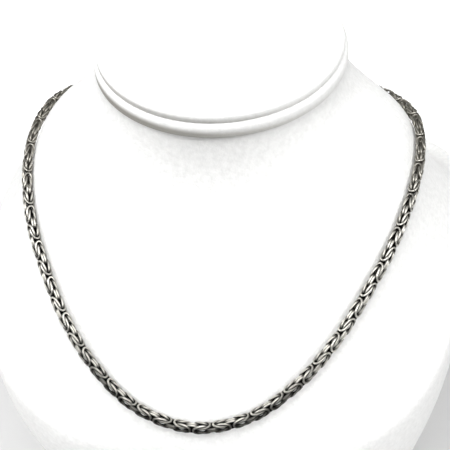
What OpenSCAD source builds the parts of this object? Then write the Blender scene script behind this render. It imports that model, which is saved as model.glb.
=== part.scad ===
// Byzantine chain necklace, fastened round a plain neck bust.
// The chain's line comes first. The bust's shell is laid under it: each meridian of the shell
// passes the line at the same small gap, with the same slope.

/* [Chain] */
// Width of the chain across its flats
chain_w = 3.6; // [3.4:0.1:4.1]
// Gap between the chain and the shell that it lies on
seat_gap = 0.3; // [0.25:0.05:0.6]

/* [Clasp] */
// Length of the clasp's barrel
barrel_len = 9; // [8:0.5:10]
// Diameter of the clasp's barrel
barrel_d = 4.4; // [4:0.1:4.8]
// Rounding of the barrel's ends
barrel_round = 0.8; // [0.4:0.1:1.2]
// Radius of the eye at each end of the clasp, to the middle of its wire
eye_r = 1.15; // [1.1:0.05:1.3]
// Wire of the eyes
eye_wire = 0.7; // [0.6:0.05:0.8]
// Radius of the rings that join the clasp to the chain, to the middle of the wire
ring_r = 1.5; // [1.4:0.05:1.6]
// Wire of the rings
ring_wire = 0.8; // [0.7:0.05:0.85]

/* [Neck bust] */
// Radius of the neck where the cap sits
neck_r = 43; // [41:0.5:43.5]
// Height of the neck under its cap
neck_h = 193.3; // [190:0.1:196]
// Slope of the neck just under the cap, in degrees from level
neck_slope = 84; // [75:1:88]
// Slope of the shell where the chain lies at the front, in degrees from level
front_slope = 61; // [54:1:64]
// Slope of the shell where the chain lies at the back
back_slope = 71; // [60:1:74]
// Half of the body's width at its widest level
body_half_w = 92; // [86:0.5:96]
// Depth of the body in front of the neck's axis
body_front = 106.5; // [105:0.5:108]
// Depth of the body behind the neck's axis
body_back = 69.5; // [68:0.5:72]
// Squareness of the body's plan, 2 being an ellipse
plan_power = 3; // [2:0.1:3.2]
// Height of the widest level above the table, at the front and the back
front_waist_h = 88; // [80:1:92]
// Height of the widest level at the sides
side_waist_h = 116; // [90:1:120]
// Size of the base against the widest level
base_scale = 0.83; // [0.8:0.01:1]

/* [Neck cap] */
// Radius of the cap's padded lower lip
lip_r = 44.4; // [43.5:0.1:45.5]
// Height of the lower lip
lip_h = 5.2; // [4:0.1:6]
// Rounding of the lip's upper edge
lip_edge_r = 2.2; // [1:0.1:3]
// Radius of the padded upper disc
disc_r = 43.2; // [42:0.1:43.4]
// Height of the upper disc
disc_h = 3.2; // [2.5:0.1:4]
// Rounding of the disc's upper edge
disc_edge_r = 1.4; // [0.8:0.1:2]
// Rounding of both lower edges
foot_edge_r = 0.5; // [0.3:0.1:0.8]

/* [Hidden] */
$fn = 48;

// Half of the chain's line, from its lowest point at the front to the middle of the back
half_line = [
    [0, -84, 115], [19, -80.5, 118.5], [34.5, -71.5, 127], [46.5, -59.5, 137],
    [56.5, -44, 147], [64, -28.5, 155], [69.5, -9, 160.5], [71.5, 11, 162],
    [69, 29.5, 160.5], [60.5, 47, 155], [48, 61, 149.5], [32.5, 71, 146.5],
    [16.5, 76.5, 145.5], [0, 78.5, 145]];
half_n = len(half_line) - 1;
// The whole loop, with the half mirrored to the other side
loop = concat(half_line,
    [for (i = [half_n - 1:-1:1]) [-half_line[i].x, half_line[i].y, half_line[i].z]]);
// Steps between one point of the line and the next
step_n = 3;

// Depth of the neck's axis behind the middle of the body
axis_y = (body_front - body_back) / 2;
// From the chain's middle to the shell
stand_off = chain_w / 2 + seat_gap;
// Clearance between the cap and the neck, and between linked rings
fit_gap = 0.3;
link_gap = 0.1;
// Rings of the shell from the cap to the chain, to the widest level, and to the base
upper_n = 9;
middle_n = 7;
lower_n = 4;
tube_sides = 8;

// Places along the clasp, from its middle: the eye, the joining ring and the chain's end
eye_sunk = 0.3;
eye_x = barrel_len / 2 + eye_r - eye_sunk;
ring_x = eye_x + eye_r - eye_wire / 2 - link_gap - ring_wire / 2 + ring_r;
chain_end_x = ring_x + ring_r + ring_wire / 2 + 2 * link_gap;
clasp_y = half_line[half_n].y + (barrel_d - chain_w) / 2 + fit_gap;
clasp_z = half_line[half_n].z;

function unit(v) = v / norm(v);
function flat(v) = [v.x, v.y];
function wrap(i, n) = (i + n) % n;
function bezier(a, b, c, d, t) =
    pow(1 - t, 3) * a + 3 * t * pow(1 - t, 2) * b + 3 * t * t * (1 - t) * c + pow(t, 3) * d;
// A smooth line through four neighbouring points, between the second and the third
function spline(a, b, c, d, t) =
    0.5 * (2 * b + (c - a) * t + (2 * a - 5 * b + 4 * c - d) * t * t
    + (3 * b - a - 3 * c + d) * t * t * t);
function loop_at(i, t) =
    let (n = len(loop))
    spline(loop[wrap(i - 1, n)], loop[wrap(i, n)], loop[wrap(i + 1, n)], loop[wrap(i + 2, n)], t);

line = [for (i = [0:len(loop) - 1], k = [0:step_n - 1]) loop_at(i, k / step_n)];
line_n = len(line);
back_k = half_n * step_n;

// Level direction from the neck's axis to a point of the line
function outward(p) = unit([p.x, p.y - axis_y]);
// Slope of the shell under a point of the line, and the shell's outward normal there
function seat_slope(p) = front_slope + (back_slope - front_slope) * (1 + outward(p).y) / 2;
function seat_normal(p) =
    let (u = outward(p), slope = seat_slope(p)) [u.x * sin(slope), u.y * sin(slope), cos(slope)];
// Radius of the body's plan in a level direction
function plan_r(u) =
    let (depth = u.y < 0 ? body_front : body_back)
    pow(pow(abs(u.x) / body_half_w, plan_power) + pow(abs(u.y) / depth, plan_power), -1 / plan_power);

// One meridian of the shell as [radius, height] pairs, from the cap down to the base
function meridian(p) =
    let (slope = seat_slope(p),
        down = [cos(slope), -sin(slope)],
        top = [neck_r, neck_h],
        seat = [norm(flat(p) - [0, axis_y]), p.z] - stand_off * [sin(slope), cos(slope)],
        waist_h = front_waist_h + (side_waist_h - front_waist_h) * pow(outward(p).x, 2),
        waist = [plan_r(outward(p)), waist_h],
        base = [base_scale * waist[0], 0],
        upper = norm(seat - top),
        middle = norm(waist - seat),
        swell = 0.85 * (waist[0] - seat[0]) / cos(slope))
    concat(
        [for (j = [0:upper_n - 1]) bezier(top, top + 0.4 * upper * [cos(neck_slope), -sin(neck_slope)],
            seat - 0.35 * upper * down, seat, j / upper_n)],
        [for (j = [0:middle_n - 1]) bezier(seat, seat + swell * down,
            waist + 0.4 * middle * [0, 1], waist, j / middle_n)],
        [for (j = [0:lower_n]) bezier(waist, waist - [0, waist_h / 4],
            base + [(waist[0] - base[0]) / 2, waist_h / 2], base, j / lower_n)]);

// A closed skin over rows of points, each row a ring with the same number of points
module skin(rows) {
    m = len(rows[0]);
    last = (len(rows) - 1) * m;
    polyhedron(
        points = [for (row = rows) each row],
        faces = concat(
            [[for (k = [m - 1:-1:0]) k]],
            [for (j = [0:len(rows) - 2], k = [0:m - 1])
                let (a = j * m + k, b = j * m + wrap(k + 1, m)) each [[a, b, a + m], [b, b + m, a + m]]],
            [[for (k = [0:m - 1]) last + k]]));
}

module torus(r, wire) {
    rotate_extrude() translate([r, 0]) circle(d = wire);
}

// A padded disc in section, soft at its upper edge and tight at its lower one
module padded_section(r, h, edge_r) {
    square([r - edge_r, h]);
    square([r - foot_edge_r, h - edge_r]);
    translate([0, foot_edge_r]) square([r, h - edge_r - foot_edge_r]);
    translate([r - edge_r, h - edge_r]) circle(r = edge_r);
    translate([r - foot_edge_r, foot_edge_r]) circle(r = foot_edge_r);
}

// Body of the bust: a neck that flares to the shoulders, on a flat base
module neck_bust() {
    lines = [for (p = line) meridian(p)];
    color("white") skin([for (j = [0:len(lines[0]) - 1]) [for (k = [0:line_n - 1])
        let (u = outward(line[k]), m = lines[k][j]) [m[0] * u.x, axis_y + m[0] * u.y, m[1]]]]);
}

// Flat cap of the neck: a lip with a smaller disc on it
module neck_cap() {
    color("whitesmoke") translate([0, axis_y, neck_h + fit_gap]) rotate_extrude($fn = 96) {
        padded_section(lip_r, lip_h, lip_edge_r);
        translate([0, lip_h]) padded_section(disc_r, disc_h, disc_edge_r);
    }
}

// The chain's outer form, from one end at the clasp round the front to the other
module chain() {
    x_last = half_line[half_n - 1].x;
    right_end = loop_at(half_n - 1, 1 - chain_end_x / x_last);
    left_end = [-right_end.x, right_end.y, right_end.z];
    path = concat([left_end], [for (k = [back_k + 2:line_n - 1]) line[k]],
        [for (k = [0:back_k - 2]) line[k]], [right_end]);
    n = len(path);
    corner_r = chain_w / 2 / cos(180 / tube_sides);
    color("silver") skin([for (i = [0:n - 1])
        let (along = unit(path[min(i + 1, n - 1)] - path[max(i - 1, 0)]),
            out = seat_normal(path[i]),
            up = unit(out - (out * along) * along),
            side = cross(along, up))
        [for (k = [0:tube_sides - 1])
            let (a = 360 * (k + 0.5) / tube_sides)
            path[i] + corner_r * (cos(a) * side + sin(a) * up)]]);
}

// Barrel of the clasp with an eye at each end
module clasp() {
    r = barrel_d / 2;
    h = barrel_len / 2;
    color("silver") translate([0, clasp_y, clasp_z]) {
        rotate([0, 90, 0]) rotate_extrude() {
            translate([0, -h]) square([r - barrel_round, barrel_len]);
            translate([0, -h + barrel_round]) square([r, barrel_len - 2 * barrel_round]);
            for (side = [-1, 1]) intersection() {
                translate([r - barrel_round, side * (h - barrel_round)]) circle(r = barrel_round);
                translate([0, -h]) square([r, barrel_len]);
            }
        }
        for (side = [-1, 1]) translate([side * eye_x, 0, 0]) rotate([90, 0, 0]) torus(eye_r, eye_wire);
    }
}

module left_ring() {
    color("silver") translate([-ring_x, clasp_y, clasp_z]) torus(ring_r, ring_wire);
}

module right_ring() {
    color("silver") translate([ring_x, clasp_y, clasp_z]) torus(ring_r, ring_wire);
}

neck_bust();
neck_cap();
chain();
clasp();
left_ring();
right_ring();
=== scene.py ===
"""Byzantine chain necklace on a plain neck bust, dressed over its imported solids.

The chain is woven by a Geometry Nodes tree: one unit of the weave is built from oval rings,
repeated along a straight line, and then laid along the necklace's route. The route and the
bust's shell repeat the named sizes of the part's source, so both lie where the solids lie.
The pieces' sizes are in millimetres until a mesh is made. Lights and grain are in metres.
"""

from __future__ import annotations

import logging
import math
from dataclasses import dataclass, field
from enum import Enum

import bpy
import numpy as np
from mathutils import Matrix, Vector

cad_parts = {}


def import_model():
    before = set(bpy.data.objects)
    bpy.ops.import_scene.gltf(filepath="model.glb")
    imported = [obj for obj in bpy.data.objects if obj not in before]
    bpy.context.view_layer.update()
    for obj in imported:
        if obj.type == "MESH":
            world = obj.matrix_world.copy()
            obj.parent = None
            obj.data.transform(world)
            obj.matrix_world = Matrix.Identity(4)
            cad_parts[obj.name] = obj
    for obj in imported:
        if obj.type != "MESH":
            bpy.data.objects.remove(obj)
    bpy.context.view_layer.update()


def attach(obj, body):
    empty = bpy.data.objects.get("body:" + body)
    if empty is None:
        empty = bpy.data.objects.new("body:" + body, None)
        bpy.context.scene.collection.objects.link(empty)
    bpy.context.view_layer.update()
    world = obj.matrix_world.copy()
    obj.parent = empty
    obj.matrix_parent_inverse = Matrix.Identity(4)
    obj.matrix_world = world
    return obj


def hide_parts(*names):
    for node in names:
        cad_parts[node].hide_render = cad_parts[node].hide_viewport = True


LOG = logging.getLogger("necklace")
MM = 0.001
NEAR = 0.01  # heights this close count as one
ROOT = "root"
Socket = bpy.types.NodeSocket
Pair = tuple[float, float]
Triple = tuple[float, float, float]
Colour = tuple[float, float, float, float]
Faces = list[tuple[int, ...]]
Form = tuple[np.ndarray, Faces]
# Brownish grey of the painted shade on the cap's pads
CAP_SHADE_COLOUR: Colour = (0.31, 0.297, 0.266, 1.0)


class Slot(Enum):
    """Material slots of the record."""

    SILVER = "silver"
    LEATHERETTE = "white_leatherette"


class Attr(Enum):
    """Attributes that the meshes carry for their materials."""

    # Polish of the silver, with painted shade on the outer face at the front
    POLISH_AND_SHADE = "polish_and_shade"
    OUTWARD = "outward"
    # Painted shade: the shadow beside the chain on the shell, and the shade on the cap's pads
    PAINTED_SHADE = "painted_shade"
    # Painted soft light: the silver's tone flattened towards a duller colour at the chain's ends
    PAINTED_SOFT_LIGHT = "painted_soft_light"


# ---- node helpers


class NodeBoard:
    """A node tree with short ways to add and join nodes."""

    def __init__(self, tree: bpy.types.NodeTree) -> None:
        """Keep the tree."""
        self.tree = tree

    def name_sockets(self, kind: str, *labels: str, way: str = "INPUT") -> None:
        """Give the tree named inputs or outputs of one kind."""
        for label in labels:
            self.tree.interface.new_socket(name=label, in_out=way, socket_type=f"NodeSocket{kind}")

    def feed(self, socket: Socket, value: object) -> None:
        """Join a socket to another one, or set its value.

        Args:
            socket: The input socket.
            value: An output socket, or a plain value.
        """
        if isinstance(value, Socket):
            self.tree.links.new(value, socket)
        else:
            socket.default_value = value

    def fill(self, node: bpy.types.Node, inputs: dict[str | int, object]) -> None:
        """Feed several inputs of a node, by name or by number."""
        for name, value in inputs.items():
            self.feed(node.inputs[name], value)

    def add(self, kind: str, inputs: dict[str | int, object] | None = None,
            **settings: object) -> bpy.types.Node:
        """Add a node.

        Args:
            kind: Blender's name of the node type.
            inputs: What to feed its inputs, by name or by number.
            **settings: Properties to set on the node first.

        Returns:
            The new node.
        """
        node = self.tree.nodes.new(kind)
        for name, value in settings.items():
            setattr(node, name, value)
        self.fill(node, inputs or {})
        return node

    def math(self, operation: str, *values: object, clamp: bool = False) -> Socket:
        """Return the result of a Math node."""
        return self.add("ShaderNodeMath", dict(enumerate(values)), operation=operation,
                        use_clamp=clamp).outputs[0]

    def vector(self, operation: str, *values: object) -> Socket:
        """Return the result of a Vector Math node, a number for a product and else a vector."""
        node = self.add("ShaderNodeVectorMath", dict(enumerate(values)), operation=operation)
        return node.outputs["Value" if operation == "DOT_PRODUCT" else "Vector"]

    def scaled(self, vector: object, factor: object) -> Socket:
        """Return a vector multiplied by a number."""
        return self.add("ShaderNodeVectorMath", {0: vector, "Scale": factor},
                        operation="SCALE").outputs[0]

    def combine(self, x: object = 0.0, y: object = 0.0, z: object = 0.0) -> Socket:
        """Return a vector made of three numbers."""
        return self.add("ShaderNodeCombineXYZ", {0: x, 1: y, 2: z}).outputs[0]

    def split(self, vector: object) -> bpy.types.bpy_prop_collection:
        """Return a vector's three numbers."""
        return self.add("ShaderNodeSeparateXYZ", {0: vector}).outputs

    def ramp(self, value: object, low: float, high: float) -> Socket:
        """Return a smooth step of a number from 0 at low to 1 at high."""
        return self.add("ShaderNodeMapRange", {"Value": value, "From Min": low, "From Max": high},
                        interpolation_type="SMOOTHSTEP").outputs["Result"]

    def mix(self, part: object, low: object, high: object) -> Socket:
        """Return a colour between two, which are the node's inputs 6 and 7."""
        return self.add("ShaderNodeMix", {0: part, 6: low, 7: high}, data_type="RGBA").outputs[2]

    def read(self, attr: Attr) -> Socket:
        """Return a mesh attribute in a material."""
        return self.add("ShaderNodeAttribute", attribute_name=attr.value).outputs["Fac"]

    def position(self) -> bpy.types.bpy_prop_collection:
        """Return the three numbers of each point's place."""
        return self.split(self.add("GeometryNodeInputPosition").outputs[0])

    def circle(self, sides: object, radius: object) -> Socket:
        """Return a circle as a curve."""
        return self.add("GeometryNodeCurvePrimitiveCircle",
                        {"Resolution": sides, "Radius": radius}, mode="RADIUS").outputs[0]

    def sweep(self, curve: object, profile: object) -> Socket:
        """Return a closed mesh swept along a curve."""
        return self.add("GeometryNodeCurveToMesh", {
            "Curve": curve, "Profile Curve": profile, "Fill Caps": True}).outputs[0]

    def turned(self, geometry: object, angle: object, height: object = 0.0) -> Socket:
        """Return a geometry turned about Z and lifted along it."""
        return self.add("GeometryNodeTransform", {
            "Geometry": geometry, "Rotation": self.combine(z=angle),
            "Translation": self.combine(z=height)}).outputs[0]

    def join(self, *geometries: Socket) -> Socket:
        """Join geometries.

        Args:
            *geometries: What to join.

        Returns:
            All of them as one.
        """
        node = self.add("GeometryNodeJoinGeometry")
        for geometry in geometries:
            self.feed(node.inputs[0], geometry)
        return node.outputs[0]

    def store(self, geometry: object, attr: Attr, value: object) -> Socket:
        """Store a number for each point of a geometry and return the geometry."""
        return self.add("GeometryNodeStoreNamedAttribute", {
            "Geometry": geometry, "Name": attr.value, "Value": value},
            data_type="FLOAT", domain="POINT").outputs[0]

    def sample(self, curve: Socket, attr: Attr, kind: str,
               length: object) -> tuple[bpy.types.Node, Socket]:
        """Sample a curve at a length along it.

        Args:
            curve: The curve.
            attr: The attribute to read from it.
            kind: Data type of the attribute.
            length: How far along the curve.

        Returns:
            The Sample Curve node and its value of the attribute.
        """
        named = self.add("GeometryNodeInputNamedAttribute", {"Name": attr.value}, data_type=kind)
        node = self.add("GeometryNodeSampleCurve", {"Curves": curve, "Length": length},
                        mode="LENGTH", data_type=kind, use_all_curves=True)
        self.feed(next(s for s in node.inputs if s.name == "Value" and s.enabled),
                  next(s for s in named.outputs if s.name == "Attribute" and s.enabled))
        return node, next(s for s in node.outputs if s.name == "Value" and s.enabled)


# ---- finishes


def new_material(name: str) -> tuple[bpy.types.Material, NodeBoard, bpy.types.Node]:
    """Make an empty material.

    Args:
        name: Its name.

    Returns:
        The material, its node board and its Principled BSDF.
    """
    material = bpy.data.materials.new(name)
    material.use_nodes = True
    board = NodeBoard(material.node_tree)
    return material, board, material.node_tree.nodes["Principled BSDF"]


@dataclass(frozen=True)
class FineGrain:
    """Shader group: fine surface grain as a height and a tone, used by every finish."""

    name: str = "Fine grain"
    cloud_scale: float = 0.35
    cell_height: float = 0.7
    cloud_height: float = 0.5
    cloud_detail: float = 4.0

    def group(self) -> bpy.types.NodeTree:
        """Build the group once.

        Returns:
            The group, with inputs Scale and Contrast and outputs Height and Tone.
        """
        known = bpy.data.node_groups.get(self.name)
        if known:
            return known
        board = NodeBoard(bpy.data.node_groups.new(self.name, "ShaderNodeTree"))
        board.name_sockets("Float", "Scale", "Contrast")
        board.name_sockets("Float", "Height", "Tone", way="OUTPUT")
        given = board.add("NodeGroupInput").outputs
        place = board.add("ShaderNodeTexCoord").outputs["Object"]
        cells = board.add("ShaderNodeTexVoronoi", {"Vector": place, "Scale": given["Scale"]},
                          feature="SMOOTH_F1").outputs["Distance"]
        cloud = board.add("ShaderNodeTexNoise", {
            "Vector": place, "Scale": board.math("MULTIPLY", given["Scale"], self.cloud_scale),
            "Detail": self.cloud_detail}).outputs["Fac"]
        puffs = board.math("MULTIPLY", cloud, self.cloud_height)
        board.add("NodeGroupOutput", {
            "Height": board.math("MULTIPLY_ADD", cells, self.cell_height, puffs),
            "Tone": board.math("MULTIPLY", board.math("SUBTRACT", cloud, 0.5),
                               given["Contrast"])})
        return board.tree


@dataclass(frozen=True)
class Finish:
    """A material with a fine grain in its surface."""

    grain_scale: float = 1500.0
    grain_contrast: float = 0.25
    grain_strength: float = 0.05
    grain_depth: float = 0.00002

    def start(self, name: str) -> tuple[bpy.types.Material, NodeBoard, bpy.types.Node, Socket]:
        """Make a material with its grain.

        Args:
            name: Its name.

        Returns:
            The material, its node board, its shader bumped by the grain, and the grain's tone.
        """
        material, board, shader = new_material(name)
        grain = board.add("ShaderNodeGroup", {
            "Scale": self.grain_scale, "Contrast": self.grain_contrast},
            node_tree=FineGrain().group()).outputs
        bump = board.add("ShaderNodeBump", {
            "Strength": self.grain_strength, "Distance": self.grain_depth,
            "Height": grain["Height"]})
        board.feed(shader.inputs["Normal"], bump.outputs["Normal"])
        return material, board, shader, grain["Tone"]


@dataclass(frozen=True)
class OxidisedSilver(Finish):
    """Silver that is polished where it is touched and black in its recesses."""

    bright: Colour = (0.76, 0.738, 0.677, 1.0)
    dark: Colour = (0.006, 0.006, 0.005, 1.0)
    # Flat, duller colour that stands in for the softer light at the chain's ends: painted soft
    # light
    soft_lit: Colour = (0.46, 0.435, 0.38, 1.0)
    soft_light_share: float = 0.6
    bright_roughness: float = 0.34
    dark_roughness: float = 0.55
    has_recesses: bool = True

    def material(self, name: str) -> bpy.types.Material:
        """Build the material.

        Args:
            name: Name of the material.

        Returns:
            The material. Where the finish has recesses it reads the polish attribute, which also
            carries painted shade on the outer face at the front, and the painted soft light
            attribute, which flattens the tone towards a duller colour at the chain's ends.
        """
        material, board, shader, tone = self.start(name)
        colour, roughness = self.bright, self.bright_roughness
        if self.has_recesses:
            shade_mask = board.math("ADD", board.read(Attr.POLISH_AND_SHADE), tone, clamp=True)
            # Painted soft light flattens the tone towards the duller colour at the chain's ends
            painted_soft_light = board.math("MULTIPLY", board.read(Attr.PAINTED_SOFT_LIGHT), self.soft_light_share)
            colour = board.mix(painted_soft_light, board.mix(shade_mask, self.dark, self.bright), self.soft_lit)
            span = self.bright_roughness - self.dark_roughness
            roughness = board.math("MULTIPLY_ADD", shade_mask, span, self.dark_roughness)
        board.fill(shader, {"Metallic": 1.0, "Base Color": colour, "Roughness": roughness})
        return material


@dataclass(frozen=True)
class Leatherette(Finish):
    """White leatherette, smooth with a fine pebbled grain."""

    colour: Colour = (0.90, 0.90, 0.89, 1.0)
    # Colour that the painted shade attribute darkens towards
    shade_colour: Colour = (0.03, 0.03, 0.03, 1.0)
    roughness: float = 0.55
    specular: float = 0.35
    grain_scale: float = 1700.0
    grain_contrast: float = 0.26
    grain_strength: float = 0.5
    grain_depth: float = 0.0003

    def material(self, name: str) -> bpy.types.Material:
        """Build the material.

        Args:
            name: Name of the material.

        Returns:
            The material, which darkens towards its shade colour by the painted shade attribute:
            painted shadow beside the chain on the shell, painted shade on the cap's pads.
        """
        material, board, shader, tone = self.start(name)
        lit = board.add("ShaderNodeHueSaturation", {
            "Color": self.colour, "Value": board.math("ADD", tone, 1.0)}).outputs["Color"]
        # Painted shade: the colour darkens towards the shade colour by the painted shade attribute
        board.fill(shader, {
            "Base Color": board.mix(board.read(Attr.PAINTED_SHADE), lit, self.shade_colour),
            "Roughness": self.roughness, "Specular IOR Level": self.specular})
        return material


# ---- mesh helpers


def linked(name: str, data: bpy.types.ID) -> bpy.types.Object:
    """Put an object in the scene.

    Args:
        name: Its name.
        data: Its mesh, light or camera.

    Returns:
        The object.
    """
    thing = bpy.data.objects.new(name, data)
    bpy.context.scene.collection.objects.link(thing)
    return thing


def mesh_object(name: str, points: np.ndarray, faces: Faces,
                sharp_angle: float = 40.0) -> bpy.types.Object:
    """Make an object at the origin from points in millimetres.

    Args:
        name: Name of the object.
        points: Rows of x, y and z.
        faces: Corner numbers of each face.
        sharp_angle: Edges bent more than this, in degrees, are shaded sharp.

    Returns:
        The object, smooth shaded.
    """
    mesh = bpy.data.meshes.new(name)
    mesh.from_pydata([tuple(p) for p in np.asarray(points, float) * MM], [], faces)
    mesh.polygons.foreach_set("use_smooth", [True] * len(mesh.polygons))
    mesh.set_sharp_from_angle(angle=math.radians(sharp_angle))
    mesh.update()
    return linked(name, mesh)


def add_values(piece: bpy.types.Object, attr: Attr, values: np.ndarray) -> None:
    """Store one number for each point of a piece as an attribute."""
    layer = piece.data.attributes.new(attr.value, "FLOAT", "POINT")
    layer.data.foreach_set("value", values)


def loft_faces(rows: int, columns: int, closed: bool = False) -> Faces:
    """Give the quads between rows of points that each close on themselves.

    Args:
        rows: Number of rows.
        columns: Points in a row.
        closed: Whether the last row joins the first.

    Returns:
        The faces.
    """
    total = rows * columns
    pairs = [(j * columns + k, j * columns + (k + 1) % columns)
             for j in range(rows if closed else rows - 1) for k in range(columns)]
    return [(a, (a + columns) % total, (b + columns) % total, b) for a, b in pairs]


def lathe(section: list[Pair], axis: str, sides: int) -> Form:
    """Turn a section of radius and height pairs about an axis through the origin.

    Args:
        section: Pairs from one end of the axis to the other; a radius of 0 closes an end.
        axis: "X" or "Z".
        sides: Number of sides.

    Returns:
        The points and the faces.
    """
    angles = np.linspace(0, 2 * math.pi, sides, endpoint=False)
    points, rings = [], []
    for radius, height in section:
        if radius == 0:
            rings.append([len(points)] * sides)
            points.append((0, 0, height))
        else:
            rings.append(list(range(len(points), len(points) + sides)))
            points += [(radius * math.cos(a), radius * math.sin(a), height) for a in angles]
    faces = []
    for low, high in zip(rings, rings[1:]):
        for k in range(sides):
            corners = (low[k], low[(k + 1) % sides], high[(k + 1) % sides], high[k])
            faces.append(tuple(dict.fromkeys(corners)))
    points = np.array(points)
    return (points[:, [2, 0, 1]] if axis == "X" else points), faces


def torus(centre: Triple, radius: float, wire: float, normal: str,
          around: int = 32, sides: int = 12) -> Form:
    """Make a wire ring.

    Args:
        centre: Its middle.
        radius: From the middle to the middle of the wire.
        wire: Diameter of the wire.
        normal: "Y" or "Z", the axis through the ring's hole.
        around: Steps round the ring.
        sides: Sides of the wire.

    Returns:
        The points and the faces.
    """
    points = []
    for a in np.linspace(0, 2 * math.pi, around, endpoint=False):
        for b in np.linspace(0, 2 * math.pi, sides, endpoint=False):
            reach = radius + wire / 2 * math.cos(b)
            points.append((reach * math.cos(a), reach * math.sin(a), wire / 2 * math.sin(b)))
    points = np.array(points)
    if normal == "Y":
        points = points[:, [0, 2, 1]] * (1, -1, 1)
    return points + np.array(centre), loft_faces(around, sides, closed=True)


def joined(parts: list[Form]) -> Form:
    """Put several forms into one.

    Args:
        parts: Their points and faces.

    Returns:
        All the points and all the faces.
    """
    points, faces, start = [], [], 0
    for some_points, some_faces in parts:
        points.append(some_points)
        faces += [tuple(i + start for i in f) for f in some_faces]
        start += len(some_points)
    return np.vstack(points), faces


def dress(piece: bpy.types.Object, material: bpy.types.Material, slot: Slot, *nodes: str) -> None:
    """Give a piece its material, its body and the solids that it stands for.

    Args:
        piece: The finished piece.
        material: Its material.
        slot: Not used.
        *nodes: The solids that it replaces.
    """
    piece.data.materials.clear()
    piece.data.materials.append(material)
    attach(piece, ROOT)
    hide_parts(*nodes)
    LOG.info("%s: %d faces", piece.name, len(piece.data.polygons))


# ---- the chain's route


@dataclass
class Route:
    """The chain's line round the bust, the same as in the part's source."""

    half: tuple[Triple, ...] = (
        (0, -84, 115), (19, -80.5, 118.5), (34.5, -71.5, 127), (46.5, -59.5, 137),
        (56.5, -44, 147), (64, -28.5, 155), (69.5, -9, 160.5), (71.5, 11, 162),
        (69, 29.5, 160.5), (60.5, 47, 155), (48, 61, 149.5), (32.5, 71, 146.5),
        (16.5, 76.5, 145.5), (0, 78.5, 145))
    steps: int = 8
    axis_y: float = 18.5
    front_slope: float = 61.0
    back_slope: float = 71.0
    line: np.ndarray = field(init=False)

    def __post_init__(self) -> None:
        """Work out the closed line, from its lowest point at the front to the right."""
        half = np.array(self.half, float)
        loop = np.vstack([half, half[1:-1][::-1] * (-1, 1, 1)])
        count = len(loop)
        line = []
        for i in range(count):
            a, b, c, d = (loop[(i + k) % count] for k in (-1, 0, 1, 2))
            for t in np.arange(self.steps) / self.steps:
                line.append(0.5 * (2 * b + (c - a) * t + (2 * a - 5 * b + 4 * c - d) * t * t
                                   + (3 * b - a - 3 * c + d) * t ** 3))
        self.line = np.array(line)

    def outward(self, points: np.ndarray) -> np.ndarray:
        """Return the level directions from the neck's axis to the points."""
        flat = points[:, :2] - (0, self.axis_y)
        return flat / np.linalg.norm(flat, axis=1)[:, None]

    def slopes(self, points: np.ndarray) -> np.ndarray:
        """Return the shell's slope under the points, in radians."""
        part = (1 + self.outward(points)[:, 1]) / 2
        return np.radians(self.front_slope + (self.back_slope - self.front_slope) * part)

    def normals(self, points: np.ndarray) -> np.ndarray:
        """Return the shell's outward normals at the points."""
        slopes = self.slopes(points)
        return np.column_stack([self.outward(points) * np.sin(slopes)[:, None], np.cos(slopes)])

    def from_back(self) -> np.ndarray:
        """Return the line from the middle of the back round the front to the back again."""
        back = (len(self.half) - 1) * self.steps
        return np.vstack([self.line[back:], self.line[:back + 1]])


# ---- the bust


def bezier(a: np.ndarray, b: np.ndarray, c: np.ndarray, d: np.ndarray,
           steps: np.ndarray) -> np.ndarray:
    """Return points of many cubic curves at once, as steps by curves by two."""
    t = steps[..., None] if steps.ndim == 2 else steps[:, None, None]
    return (1 - t) ** 3 * a + 3 * t * (1 - t) ** 2 * b + 3 * t * t * (1 - t) * c + t ** 3 * d


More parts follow.
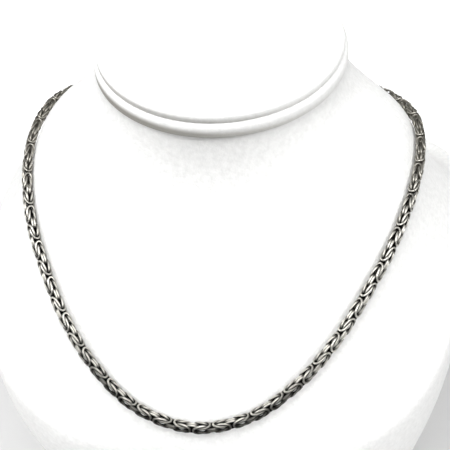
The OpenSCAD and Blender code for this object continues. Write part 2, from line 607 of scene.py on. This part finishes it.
@dataclass
class NeckBust:
    """The bust's shell: a neck that flares to the shoulders, on a flat base."""

    route: Route
    neck_r: float = 43.0
    neck_h: float = 193.3
    neck_slope: float = 84.0
    stand_off: float = 2.1
    body_half_w: float = 92.0
    body_front: float = 106.5
    body_back: float = 69.5
    plan_power: float = 3.0
    front_waist_h: float = 88.0
    side_waist_h: float = 116.0
    base_scale: float = 0.83
    # Shares of the way between a meridian's points at which its curves are pulled
    neck_pull: float = 0.4
    seat_pull: float = 0.35
    swell: float = 0.85
    # Rounded hem at the base: its size, and each row's inset and height as shares of it
    hem: float = 1.5
    hem_rows: tuple[Pair, ...] = ((0.0, 0.6), (0.3, 0.18), (1.0, 0.0))
    upper_n: int = 20
    middle_n: int = 18
    lower_n: int = 14
    # Rows beside the chain: their distance from it, above and below, and how much painted shadow
    # they carry
    painted_shadow_above: tuple[Pair, ...] = ((1.0, 0.0), (0.5, 0.5))
    painted_shadow_below: tuple[Pair, ...] = (
        (0.0, 1.0), (0.7, 1.0), (1.3, 0.7), (1.8, 0.35), (2.4, 0.15), (3.3, 0.05), (4.2, 0.0))
    # The painted shadow line fades towards the sides: heights of the chain's line, and what is left
    # there
    painted_shadow_heights: Pair = (122.0, 140.0)
    painted_shadow_left: float = 0.2

    def meridians(self) -> tuple[np.ndarray, np.ndarray]:
        """Work out the shell.

        Returns:
            The points as rows by columns by radius and height, and how much painted shadow each row
            carries.
        """
        points, out = self.route.line, self.route.outward(self.route.line)
        slopes = self.route.slopes(points)
        down = np.column_stack([np.cos(slopes), -np.sin(slopes)])
        lift = np.column_stack([np.sin(slopes), np.cos(slopes)])
        reach = np.linalg.norm(points[:, :2] - (0, self.route.axis_y), axis=1)
        seat = np.column_stack([reach, points[:, 2]]) - self.stand_off * lift
        depth = np.where(out[:, 1] < 0, self.body_front, self.body_back)
        power = self.plan_power
        plan = (np.abs(out[:, 0] / self.body_half_w) ** power
                + np.abs(out[:, 1] / depth) ** power) ** (-1 / power)
        waist_h = self.front_waist_h + (self.side_waist_h - self.front_waist_h) * out[:, 0] ** 2
        waist = np.column_stack([plan, waist_h])
        base = np.column_stack([self.base_scale * plan, np.zeros(len(plan))])
        top = np.broadcast_to([self.neck_r, self.neck_h], seat.shape)
        neck_angle = math.radians(self.neck_slope)
        neck = np.array([math.cos(neck_angle), -math.sin(neck_angle)])
        upper = np.linalg.norm(seat - top, axis=1)[:, None]
        middle = np.linalg.norm(waist - seat, axis=1)[:, None]
        swell = (self.swell * (waist[:, 0] - seat[:, 0]) / np.cos(slopes))[:, None]
        drop = np.column_stack([np.zeros(len(plan)), waist_h])
        tuck = np.column_stack([(waist[:, 0] - base[:, 0]) / 2, waist_h / 2])
        above, shadow_share_above = np.array(self.painted_shadow_above).T
        below, shadow_share_below = np.array(self.painted_shadow_below).T
        near_above = 1 - above[:, None] / (3 * self.seat_pull * upper[:, 0])
        near_below = below[:, None] / (3 * swell[:, 0])
        far_above = (np.arange(self.upper_n) / self.upper_n)[:, None] * near_above[0]
        far_below = (1 + np.arange(self.middle_n)[:, None]) / (self.middle_n + 1)
        far_below = near_below[-1] + far_below * (1 - near_below[-1])
        rows = np.vstack([
            bezier(top, top + self.neck_pull * upper * neck,
                   seat - self.seat_pull * upper * down, seat,
                   np.vstack([far_above, near_above])),
            bezier(seat, seat + swell * down, waist + self.neck_pull * middle * (0, 1), waist,
                   np.vstack([near_below, far_below])),
            bezier(waist, waist - drop / 4, base + tuck, base,
                   np.arange(self.lower_n + 1) / self.lower_n)])
        shade_mask = np.zeros(len(rows))
        start = self.upper_n
        shade_mask[start:start + len(above) + len(below)] = np.concatenate([shadow_share_above, shadow_share_below])
        return rows, shade_mask

    def build(self, material: bpy.types.Material) -> None:
        """Build the shell with a small rounded hem round its base.

        Args:
            material: The bust's material.
        """
        rows, shade_mask = self.meridians()
        out = self.route.outward(self.route.line)
        hem = [rows[-1] * (1, 0) + (-self.hem * inset, self.hem * height)
               for inset, height in self.hem_rows]
        rows = np.concatenate([rows[:-1], hem])
        columns = rows.shape[1]
        radius, height = rows[..., 0].ravel(), rows[..., 1].ravel()
        around = np.tile(out, (len(rows), 1))
        points = np.column_stack([around[:, 0] * radius,
                                  self.route.axis_y + around[:, 1] * radius, height])
        top, base = (0, self.route.axis_y, self.neck_h), (0, 0, 0)
        points = np.vstack([points, top, base])
        faces = loft_faces(len(rows), columns)
        last = (len(rows) - 1) * columns
        for k in range(columns):
            after = (k + 1) % columns
            faces.append((k, after, len(points) - 2))
            faces.append((last + after, last + k, len(points) - 1))
        piece = mesh_object("bust_shell", points, faces)
        # Painted shadow on the shell beside the chain, fading towards the sides
        painted_shade = np.zeros(len(points))
        fade = np.interp(self.route.line[:, 2], self.painted_shadow_heights, (1.0, self.painted_shadow_left))
        painted_shade[:len(shade_mask) * columns] = np.outer(shade_mask, fade).ravel()
        add_values(piece, Attr.PAINTED_SHADE, painted_shade)
        dress(piece, material, Slot.LEATHERETTE, "neck_bust")


@dataclass
class NeckCap:
    """Flat cap of the neck: a padded lip with a smaller padded disc on it."""

    axis_y: float = 18.5
    foot: float = 193.6
    lip_r: float = 44.4
    lip_h: float = 5.2
    lip_edge_r: float = 2.2
    disc_r: float = 43.2
    disc_h: float = 3.2
    disc_edge_r: float = 1.4
    foot_edge_r: float = 0.5
    sides: int = 160
    arc_n: int = 8
    flat_n: int = 4
    sharp_angle: float = 50.0
    # Where the painted shade on the rim is strongest, in degrees, and how strong it is on the two
    # pads there
    shaded_at: float = 225.0
    lip_shade: float = 1.0
    disc_shade: float = 0.6
    # Painted shade round the rim: its mean and swing; up a side: where it fades, how fast, how
    # unevenly
    shade_swing: Pair = (0.45, 0.55)
    shade_reach: Pair = (1.55, 0.75)
    shade_fall: float = 3.1
    shade_power: int = 4

    def side(self, radius: float, low: float, height: float, edge_r: float) -> list[Pair]:
        """Give the side of a pad, tight at its lower edge and soft at its upper one.

        Args:
            radius: Radius of the pad.
            low: Height of its lower face.
            height: Its thickness.
            edge_r: Rounding of its upper edge.

        Returns:
            Pairs of radius and height, from the lower face to the upper one.
        """
        foot, top = self.foot_edge_r, height - edge_r
        lower = [(radius - foot + foot * math.cos(a), low + foot + foot * math.sin(a))
                 for a in np.linspace(-math.pi / 2, 0, self.arc_n // 2)]
        flat = [(radius, low + z) for z in np.linspace(foot, top, self.flat_n + 2)[1:-1]]
        upper = [(radius - edge_r + edge_r * math.cos(a), low + top + edge_r * math.sin(a))
                 for a in np.linspace(0, math.pi / 2, self.arc_n)]
        return lower + flat + upper

    def painted_shading(self, points: np.ndarray) -> np.ndarray:
        """Give how much painted shade each point of the cap carries, most at the foot of each pad's
        side.

        Args:
            points: The cap's points about its own axis.

        Returns:
            A value from 0 to 1 for each point.
        """
        turn = np.arctan2(points[:, 1], points[:, 0]) - math.radians(self.shaded_at)
        mean, swing = self.shade_swing
        around = np.clip(mean + swing * np.cos(turn), 0, 1)
        height = points[:, 2] - self.foot
        on_lip = height < self.lip_h - NEAR
        part = np.where(on_lip, height / self.lip_h, (height - self.lip_h) / self.disc_h)
        least, more = self.shade_reach
        faded = np.clip(least + more * around ** self.shade_power - self.shade_fall * part, 0, 1)
        return np.where(on_lip, self.lip_shade, self.disc_shade) * faded * around

    def build(self, material: bpy.types.Material) -> None:
        """Build the cap as one turned piece.

        Args:
            material: The bust's material.
        """
        middle = self.foot + self.lip_h
        section = [(0, self.foot)]
        section += self.side(self.lip_r, self.foot, self.lip_h, self.lip_edge_r)
        section += self.side(self.disc_r, middle, self.disc_h, self.disc_edge_r)
        section += [(0, middle + self.disc_h)]
        points, faces = lathe(section, "Z", self.sides)
        piece = mesh_object("neck_cap_disc", points + (0, self.axis_y, 0), faces,
                            self.sharp_angle)
        # Painted shade at the foot of each pad's side, strongest round the left front
        add_values(piece, Attr.PAINTED_SHADE, self.painted_shading(points))
        dress(piece, material, Slot.LEATHERETTE, "neck_cap")


# ---- the chain


@dataclass(frozen=True)
class RingPair:
    """Two oval rings that mirror each other across the chain's middle.

    Heights are along the chain, from the lens where the pairs of a unit meet. Depths are from
    the chain's middle to the ring's plane, at its low end and at its high end.
    """

    low_z: float
    high_z: float
    low_depth: float
    high_depth: float
    half_width: float = 1.37
    quarter_turn: bool = True

    def sizes(self) -> dict[str, object]:
        """Return the pair's own inputs of the ring pair group."""
        return {"Low End": (self.low_depth * MM, 0, self.low_z * MM),
                "High End": (self.high_depth * MM, 0, self.high_z * MM),
                "Half Width": self.half_width * MM, "Quarter Turn": float(self.quarter_turn)}


@dataclass
class ByzantineWeave:
    """The chain: pairs of oval rings in units that turn by a quarter from one to the next."""

    route: Route
    units: int = 70
    wire: float = 0.86
    squareness: float = 2.3
    around: int = 16
    sides: int = 6
    end_gap: float = 7.85
    # Black core through the rings: a dark filler for the shade inside the chain and its oxidised
    # inner sides
    shade_core_r: float = 0.6
    shade_core_inset: float = 1.5
    shade_core_steps: float = 4.0
    connector: RingPair = RingPair(low_z=-0.959, high_z=3.541, low_depth=0.43, high_depth=0.43)
    spread: RingPair = RingPair(low_z=-4.215, high_z=0.82, low_depth=0.43, high_depth=1.20)
    folded: RingPair = RingPair(low_z=-4.96, high_z=0.0, low_depth=1.37, high_depth=0.43,
                                quarter_turn=False)
    # Turn of the section away from the shell, in degrees, at lengths from the front's middle
    roll_at: tuple[float, ...] = (-160.0, -80.0, -45.0, 0.0, 80.0, 160.0)
    roll: tuple[float, ...] = (0.0, 2.0, 9.0, 17.0, 15.0, 13.0)
    # Painted soft light: how far the silver's tone is flattened towards a duller colour, at lengths
    # from the front's middle
    painted_soft_light_at: tuple[float, ...] = (-150.0, -130.0, -100.0, 110.0, 135.0, 155.0)
    painted_soft_light: tuple[float, ...] = (1.0, 0.8, 0.0, 0.0, 0.8, 1.0)
    # Painted shade darkens the outer face at the front: by how much, and how far from the middle
    front_shade_share: float = 0.82
    front_shade_reach: Pair = (30.0, 60.0)
    # Polish grows with the reach from the chain's middle and with how far a face looks outwards
    polish_reach: Pair = (1.1, 1.75)
    polish_facing: Pair = (0.2, 0.9)
    # Where the inner side begins and is full, and the share of it that the painted shade spares
    inner_reach: Pair = (-1.5, 0.8)
    inner_share: float = 0.8

    def guide(self) -> tuple[bpy.types.Object, float]:
        """Make the route as a line of edges with its outward directions and its painted soft light.

        Returns:
            The guide object and its length in millimetres.
        """
        line = self.route.from_back()
        gaps = np.linalg.norm(np.diff(line, axis=0), axis=1)
        run = np.concatenate([[0], np.cumsum(gaps)])
        off_middle = run - run[-1] / 2
        along = np.gradient(line, axis=0)
        along /= np.linalg.norm(along, axis=1)[:, None]
        out = self.route.normals(line)
        out -= (out * along).sum(1)[:, None] * along
        out /= np.linalg.norm(out, axis=1)[:, None]
        inner = np.cross(out, along)
        turn = np.radians(np.interp(off_middle, self.roll_at, self.roll))[:, None]
        out = out * np.cos(turn) - inner * np.sin(turn)
        mesh = bpy.data.meshes.new("chain_route")
        mesh.from_pydata([tuple(p) for p in line * MM],
                         [(i, i + 1) for i in range(len(line) - 1)], [])
        layer = mesh.attributes.new(Attr.OUTWARD.value, "FLOAT_VECTOR", "POINT")
        layer.data.foreach_set("vector", out.ravel())
        guide = linked("chain_route", mesh)
        add_values(guide, Attr.PAINTED_SOFT_LIGHT, np.interp(off_middle, self.painted_soft_light_at, self.painted_soft_light))
        return guide, float(run[-1])

    def ring_pair_group(self) -> bpy.types.NodeTree:
        """Build the node group that makes one pair of rings from named sizes.

        Returns:
            The group.
        """
        board = NodeBoard(bpy.data.node_groups.new("Ring pair", "GeometryNodeTree"))
        board.name_sockets("Vector", "Low End", "High End")
        board.name_sockets("Float", "Half Width", "Squareness", "Wire Radius", "Quarter Turn")
        board.name_sockets("Int", "Around", "Sides")
        board.name_sockets("Geometry", "Pair", way="OUTPUT")
        given = board.add("NodeGroupInput").outputs
        along, across, _ = board.position()
        powers = [board.math("POWER", board.math("ABSOLUTE", v), given["Squareness"])
                  for v in (along, across)]
        swell = board.math("POWER", board.math("ADD", *powers),
                           board.math("DIVIDE", -1.0, given["Squareness"]))
        part = board.math("MULTIPLY_ADD", board.math("MULTIPLY", along, swell), 0.5, 0.5)
        wide = board.math("MULTIPLY", board.math("MULTIPLY", across, swell), given["Half Width"])
        lift = board.vector("SUBTRACT", given["High End"], given["Low End"])
        rise = board.vector("ADD", given["Low End"], board.scaled(lift, part))
        oval = board.add("GeometryNodeSetPosition", {
            "Geometry": board.circle(given["Around"], 1.0),
            "Position": board.vector("ADD", rise, board.combine(y=wide))}).outputs[0]
        ring = board.sweep(oval, board.circle(given["Sides"], given["Wire Radius"]))
        quarter = board.math("MULTIPLY", given["Quarter Turn"], math.pi / 2)
        both = [board.turned(ring, board.math("ADD", quarter, half)) for half in (0.0, math.pi)]
        board.add("NodeGroupOutput", {"Pair": board.join(*both)})
        return board.tree

    def tree(self) -> bpy.types.NodeTree:
        """Build the tree that weaves the chain and lays it along the route.

        Returns:
            The tree, with named inputs for its sizes.
        """
        board = NodeBoard(bpy.data.node_groups.new("Byzantine weave", "GeometryNodeTree"))
        board.name_sockets("Geometry", "Route")
        board.name_sockets("Float", "Unit Length", "Start", "Middle", "Wire Radius", "Squareness",
                           "Shade Core Radius", "Shade Core Inset")
        board.name_sockets("Int", "Units", "Around", "Sides")
        board.name_sockets("Material", "Finish")
        board.name_sockets("Geometry", "Chain", way="OUTPUT")
        given = board.add("NodeGroupInput").outputs
        group = self.ring_pair_group()
        shared = {label: given[label] for label in ("Squareness", "Wire Radius", "Around", "Sides")}
        pairs = [board.add("GeometryNodeGroup", shared | pair.sizes(), node_tree=group).outputs[0]
                 for pair in (self.connector, self.spread, self.folded)]
        first = board.math("MULTIPLY_ADD", self.connector.low_z, -MM, given["Start"])
        second = board.math("ADD", first, given["Unit Length"])
        line = board.add("GeometryNodeMeshLine", {
            "Count": given["Units"], "Start Location": board.combine(z=second),
            "Offset": board.combine(z=given["Unit Length"])},
            mode="OFFSET", count_mode="TOTAL").outputs[0]
        odd = board.math("MODULO", board.add("GeometryNodeInputIndex").outputs[0], 2.0)
        quarter = board.combine(z=board.math("MULTIPLY", odd, math.pi / 2))
        laid = board.add("GeometryNodeInstanceOnPoints", {
            "Points": line, "Instance": board.join(*pairs),
            "Rotation": board.add("FunctionNodeEulerToRotation", {0: quarter}).outputs[0],
        }).outputs[0]
        straight = board.join(laid, board.turned(pairs[0], math.pi / 2, first),
                              self.place_shade_core(board, given))
        solid = board.add("GeometryNodeRealizeInstances", {0: straight}).outputs[0]
        shade_mask = self.store_polish_and_shade(board, solid, given["Middle"])
        bent = self.lay_on_route(board, shade_mask, given["Route"])
        smooth = board.add("GeometryNodeSetShadeSmooth", {"Geometry": bent}).outputs[0]
        board.add("NodeGroupOutput", {"Chain": board.add("GeometryNodeSetMaterial", {
            "Geometry": smooth, "Material": given["Finish"]}).outputs[0]})
        return board.tree

    def place_shade_core(self, board: NodeBoard, given: bpy.types.bpy_prop_collection) -> Socket:
        """Place the black core inside the straight chain: a dark filler for the shade within the
        chain and its oxidised inner sides.

        Args:
            board: The tree's board.
            given: The tree's inputs.

        Returns:
            The core's geometry.
        """
        low = board.math("ADD", given["Start"], given["Shade Core Inset"])
        high = board.math("MULTIPLY_ADD", given["Middle"], 2.0, board.math("MULTIPLY", low, -1.0))
        line = board.add("GeometryNodeCurvePrimitiveLine", {
            "Start": board.combine(z=low),
            "End": board.combine(z=high)}, mode="POINTS").outputs[0]
        steps = board.add("GeometryNodeResampleCurve", {
            "Curve": line, "Count": board.math("MULTIPLY", given["Units"], self.shade_core_steps)},
            mode="COUNT").outputs[0]
        return board.sweep(steps, board.circle(given["Sides"], given["Shade Core Radius"]))

    def store_polish_and_shade(self, board: NodeBoard, geometry: Socket, middle: Socket) -> Socket:
        """Store how far each point stands out of the straight chain, as its polish.

        Painted shade darkens the outer face round the front's middle.

        Args:
            board: The tree's board.
            geometry: The straight chain.
            middle: Where the front's middle is along the chain.

        Returns:
            The straight chain with its attribute.
        """
        x, y, z = board.position()
        reach = board.math("MAXIMUM", board.math("ABSOLUTE", x), board.math("ABSOLUTE", y))
        high = board.ramp(reach, *(v * MM for v in self.polish_reach))
        flat = board.vector("NORMALIZE", board.combine(x, y))
        facing = board.vector("DOT_PRODUCT", flat, board.add("GeometryNodeInputNormal").outputs[0])
        outer = board.ramp(facing, *self.polish_facing)
        # Painted shade on the outer face round the front's middle, lighter on the inner side
        off_middle = board.math("ABSOLUTE", board.math("SUBTRACT", z, middle))
        away = board.ramp(off_middle, *(v * MM for v in self.front_shade_reach))
        inner = board.ramp(board.math("SUBTRACT", x, y), *(v * MM for v in self.inner_reach))
        spared = board.math("MAXIMUM", away, board.math("MULTIPLY", inner, self.inner_share))
        front_unshaded = board.math("MULTIPLY_ADD", spared, self.front_shade_share, 1.0 - self.front_shade_share)
        polish_and_shade = board.math("MULTIPLY", board.math("MULTIPLY", high, outer), front_unshaded)
        return board.store(geometry, Attr.POLISH_AND_SHADE, polish_and_shade)

    def lay_on_route(self, board: NodeBoard, geometry: Socket, route: Socket) -> Socket:
        """Carry each point of the straight chain to its place along the route.

        Args:
            board: The tree's board.
            geometry: The straight chain, along Z.
            route: The line of edges with its outward directions.

        Returns:
            The chain on its route.
        """
        curve = board.add("GeometryNodeMeshToCurve", {"Mesh": route}).outputs[0]
        x, y, z = board.position()
        sample, rough = board.sample(curve, Attr.OUTWARD, "FLOAT_VECTOR", z)
        # The painted soft light, carried to each point
        _, soft_lit = board.sample(curve, Attr.PAINTED_SOFT_LIGHT, "FLOAT", z)
        along = sample.outputs["Tangent"]
        leaning = board.scaled(along, board.vector("DOT_PRODUCT", rough, along))
        out = board.vector("NORMALIZE", board.vector("SUBTRACT", rough, leaning))
        inner = board.vector("CROSS_PRODUCT", out, along)
        shift = board.vector("ADD", board.scaled(inner, x), board.scaled(out, y))
        return board.add("GeometryNodeSetPosition", {
            "Geometry": board.store(geometry, Attr.PAINTED_SOFT_LIGHT, soft_lit),
            "Position": board.vector("ADD", sample.outputs["Position"], shift)}).outputs[0]

    def build(self, material: bpy.types.Material) -> None:
        """Weave the chain and turn the result into a plain mesh.

        Args:
            material: The silver.
        """
        guide, length = self.guide()
        ring_length = self.connector.high_z - self.connector.low_z
        unit_length = (length - 2 * self.end_gap - ring_length) / self.units
        LOG.info("route %.1f mm, unit %.3f mm", length, unit_length)
        weave = guide.modifiers.new("weave", "NODES")
        weave.node_group = self.tree()
        values = {"Unit Length": unit_length * MM, "Start": self.end_gap * MM,
                  "Middle": length / 2 * MM, "Wire Radius": self.wire / 2 * MM,
                  "Shade Core Radius": self.shade_core_r * MM, "Shade Core Inset": self.shade_core_inset * MM,
                  "Squareness": self.squareness, "Units": self.units, "Around": self.around,
                  "Sides": self.sides, "Finish": material}
        for item in weave.node_group.interface.items_tree:
            if item.item_type == "SOCKET" and item.in_out == "INPUT" and item.name in values:
                weave[item.identifier] = values[item.name]
        bpy.context.view_layer.update()
        graph = bpy.context.evaluated_depsgraph_get()
        mesh = bpy.data.meshes.new_from_object(guide.evaluated_get(graph))
        bpy.data.objects.remove(guide)
        mesh.name = "woven_chain"
        dress(linked("woven_chain", mesh), material, Slot.SILVER, "chain")


# ---- the clasp


@dataclass
class BarrelClasp:
    """The hidden clasp: a plain barrel with an eye at each end, and the rings that join it."""

    route: Route
    barrel_len: float = 9.0
    barrel_d: float = 4.4
    barrel_round: float = 0.8
    eye_r: float = 1.15
    eye_wire: float = 0.7
    ring_r: float = 1.5
    ring_wire: float = 0.8
    eye_sunk: float = 0.3
    link_gap: float = 0.1
    chain_w: float = 3.6
    fit_gap: float = 0.3
    sides: int = 48
    bend_n: int = 6

    @property
    def middle(self) -> Triple:
        """Middle of the barrel."""
        back = self.route.half[-1]
        return (0.0, back[1] + (self.barrel_d - self.chain_w) / 2 + self.fit_gap, back[2])

    @property
    def eye_x(self) -> float:
        """Distance of the eyes from the middle."""
        return self.barrel_len / 2 + self.eye_r - self.eye_sunk

    @property
    def ring_x(self) -> float:
        """Distance of the joining rings from the middle."""
        return (self.eye_x + self.eye_r - self.eye_wire / 2 - self.link_gap
                - self.ring_wire / 2 + self.ring_r)

    def build(self, material: bpy.types.Material) -> None:
        """Build the barrel with its eyes, and the two joining rings.

        Args:
            material: The silver.
        """
        radius, half, soft = self.barrel_d / 2, self.barrel_len / 2, self.barrel_round
        end = [(radius - soft + soft * math.sin(a), half - soft + soft * math.cos(a))
               for a in np.linspace(0, math.pi / 2, self.bend_n)]
        section = [(0, -half)] + [(r, -h) for r, h in end] + end[::-1] + [(0, half)]
        barrel_points, barrel_faces = lathe(section, "X", self.sides)
        x, y, z = self.middle
        parts = [(barrel_points + (x, y, z), barrel_faces)]
        parts += [torus((side * self.eye_x, y, z), self.eye_r, self.eye_wire, "Y")
                  for side in (-1, 1)]
        dress(mesh_object("clasp_barrel", *joined(parts)), material, Slot.SILVER, "clasp")
        for name, side in (("left_ring", -1), ("right_ring", 1)):
            ring = mesh_object(f"{name}_wire", *torus((side * self.ring_x, y, z), self.ring_r,
                                                      self.ring_wire, "Z"))
            dress(ring, material, Slot.SILVER, name)


# ---- the studio


@dataclass
class SoftBox:
    """A square area light that looks at a point."""

    name: str
    place: Triple
    size: float
    power: float
    aim: Triple = (0.0, 0.0, 0.14)
    spread: float = 180.0

    def build(self) -> None:
        """Make the light."""
        light = bpy.data.lights.new(self.name, "AREA")
        light.size, light.energy, light.spread = self.size, self.power, math.radians(self.spread)
        lamp = linked(self.name, light)
        lamp.location = self.place
        direction = Vector(self.aim) - Vector(self.place)
        lamp.rotation_euler = direction.to_track_quat("-Z", "Y").to_euler()


@dataclass
class Studio:
    """Pale floor, soft lights and the camera at the photograph's angle."""

    floor_size: float = 6.0
    floor_tone: float = 0.70
    floor_roughness: float = 0.8
    sky: float = 0.04
    camera_mm: Triple = (56.6, -275.4, 415.9)
    forward: Triple = (-0.1402, 0.6829, -0.7169)
    upward: Triple = (-0.0600, 0.7169, 0.6946)
    lens: float = 84.0
    sensor: float = 36.0
    clip: Pair = (0.01, 20.0)

    def floor(self) -> None:
        """Make the floor."""
        bpy.ops.mesh.primitive_plane_add(size=self.floor_size)
        floor = bpy.context.object
        floor.name = "floor"
        material, board, shader = new_material("pale floor")
        board.fill(shader, {"Base Color": (*[self.floor_tone] * 3, 1.0),
                            "Roughness": self.floor_roughness})
        floor.data.materials.append(material)

    def world(self) -> None:
        """Fill the room with a faint even light, so that the silver keeps dark reflections."""
        world = bpy.data.worlds.new("studio")
        world.use_nodes = True
        tree = world.node_tree
        NodeBoard(tree).fill(tree.nodes["Background"], {
            "Color": (1.0, 1.0, 1.0, 1.0), "Strength": self.sky})
        bpy.context.scene.world = world

    def lights(self) -> None:
        """Place the soft boxes: two above, one at each side, one low and one for the floor."""
        for box in (
            SoftBox("overhead", (-0.06, -0.15, 1.0), 0.5, 4.6),
            SoftBox("high front", (0.0, -0.45, 0.9), 0.5, 3.0),
            SoftBox("left side", (-0.8, -0.1, 0.6), 0.4, 4.2),
            SoftBox("right side", (0.8, -0.1, 0.6), 0.4, 4.4),
            SoftBox("low front", (0.0, -0.6, 0.3), 0.2, 0.04, (0.0, -0.1, 0.06), 20.0),
            SoftBox("backdrop", (0.0, 0.2, 0.75), 0.5, 5.0, (0.0, 0.65, 0.0), 60.0),
        ):
            box.build()

    def camera(self) -> None:
        """Place the camera where the photograph was taken from."""
        lens = bpy.data.cameras.new("camera")
        lens.lens, lens.sensor_width = self.lens, self.sensor
        lens.clip_start, lens.clip_end = self.clip
        ahead = Vector(self.forward).normalized()
        right = ahead.cross(Vector(self.upward)).normalized()
        turn = Matrix((right, right.cross(ahead), -ahead)).transposed()
        camera = linked("camera", lens)
        camera.matrix_world = Matrix.Translation(Vector(self.camera_mm) * MM) @ turn.to_4x4()
        bpy.context.scene.camera = camera

    def build(self) -> None:
        """Build the floor, the lights and the camera."""
        self.floor()
        self.world()
        self.lights()
        self.camera()
        view = bpy.context.scene.view_settings
        view.view_transform, view.look = "Standard", "None"


def corners(box: tuple[Vector, Vector]) -> list[list[float]]:
    """Return a box as plain lists of numbers."""
    return [[float(v) for v in corner] for corner in box]


def main() -> None:
    """Build every sub-assembly in order."""
    logging.basicConfig(level=logging.INFO, format="%(name)s: %(message)s")
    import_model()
    route = Route()
    NeckBust(route).build(Leatherette().material("bust leatherette"))
    NeckCap().build(Leatherette(shade_colour=CAP_SHADE_COLOUR).material("cap leatherette"))
    ByzantineWeave(route).build(OxidisedSilver().material("oxidised silver"))
    BarrelClasp(route).build(OxidisedSilver(has_recesses=False).material("plain silver"))
    Studio().build()


if __name__ == "__main__":
    main()
